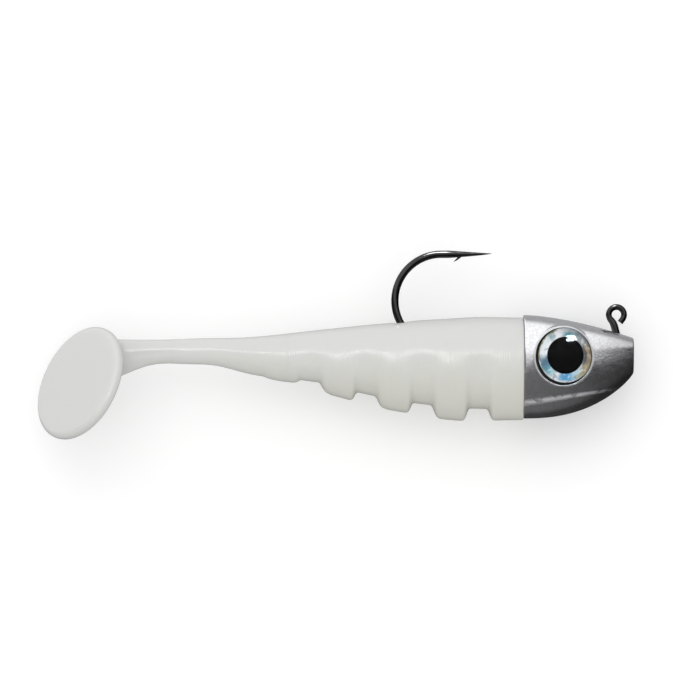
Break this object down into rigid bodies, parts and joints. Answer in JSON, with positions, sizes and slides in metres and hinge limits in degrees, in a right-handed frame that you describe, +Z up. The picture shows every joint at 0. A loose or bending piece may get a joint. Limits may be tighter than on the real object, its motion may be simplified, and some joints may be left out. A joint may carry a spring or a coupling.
{
  "type": "swimbait",
  "caption": "Soft paddle-tail lure on a cast fish-head jig with an upright hook, a wire line tie and round foil eyes; the body and tail bend sideways.",
  "frame": {"origin": "centre of the line-tie loop's hole, on the middle plane", "axes": "+X forward to the nose, +Y to the fish's left side and along the line-tie hole, +Z up to the back and the hook point"},
  "size_m": [0.1001, 0.0183, 0.0316],
  "materials": {
    "lead_head": "satin cast lead",
    "jig_hook": "black nickel gloss",
    "soft_body": "soft white translucent, slightly glossy",
    "eye_pad": "white adhesive foam",
    "eye_foil": "silver holographic foil",
    "eye_pupil": "gloss black print",
    "eye_dome": "clear domed resin"
  },
  "bodies": {
    "head": {"lead_head": "lead_head", "jig_hook": "jig_hook", "body_front": "soft_body", "eye_pad_right": "eye_pad", "eye_foil_right": "eye_foil", "eye_pupil_right": "eye_pupil", "eye_dome_right": "eye_dome", "eye_pad_left": "eye_pad", "eye_foil_left": "eye_foil", "eye_pupil_left": "eye_pupil", "eye_dome_left": "eye_dome"},
    "rear": {"body_rear": "soft_body"},
    "stalk": {"tail_stalk": "soft_body"},
    "paddle": {"tail_paddle": "soft_body"}
  },
  "joints": [
    {"name": "rear_flex", "type": "hinge", "parent": "head", "child": "rear", "pos_m": [-0.04362, 0, -0.0068], "axis": [0, 0, 1], "range_deg": [-20, 20], "stiffness_Nm_per_rad": 0.008},
    {"name": "stalk_flex", "type": "hinge", "parent": "rear", "child": "stalk", "pos_m": [-0.06562, 0, -0.0062], "axis": [0, 0, 1], "range_deg": [-35, 35], "stiffness_Nm_per_rad": 0.0004},
    {"name": "paddle_flex", "type": "hinge", "parent": "stalk", "child": "paddle", "pos_m": [-0.08512, 0, -0.0064], "axis": [0, 0, 1], "range_deg": [-90, 8], "stiffness_Nm_per_rad": 0.0001}
  ]
}
